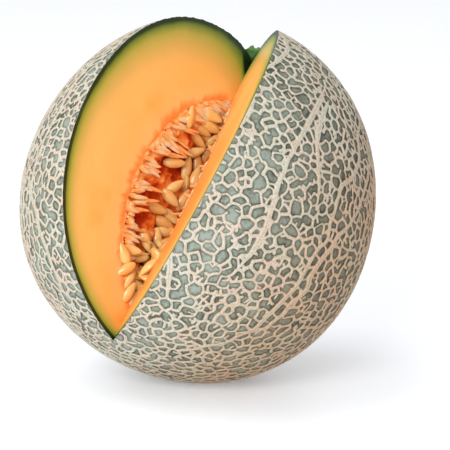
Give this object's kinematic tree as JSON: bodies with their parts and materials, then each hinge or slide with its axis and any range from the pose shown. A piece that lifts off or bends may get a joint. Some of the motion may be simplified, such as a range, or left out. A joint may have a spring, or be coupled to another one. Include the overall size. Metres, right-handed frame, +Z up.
{
  "type": "cantaloupe melon with a wedge cut out",
  "caption": "Round netted cantaloupe melon lying on its side, one wedge cut out, so that the orange flesh and the seed cavity with its seeds show.",
  "frame": {"origin": "on the surface that the melon lies on, in the small flat it rests on, straight under the melon's middle", "axes": "+Z up, the notch opens towards -Y and upwards, the stem end leans back towards +Y and +X, +X to the right"},
  "size_m": [0.1526, 0.1578, 0.1547],
  "materials": {
    "rind_and_flesh": "corky pale net over a grey-green skin outside; moist orange flesh with a green edge on the two cut faces",
    "seeds_and_pulp": "wet deep orange pulp and fibres with pale yellow-beige seeds",
    "stem": "drying green stem stub, fibrous"
  },
  "bodies": {
    "root": {"melon_body": "rind_and_flesh", "seed_mass": "seeds_and_pulp", "stem_stub": "stem"}
  },
  "joints": []
}
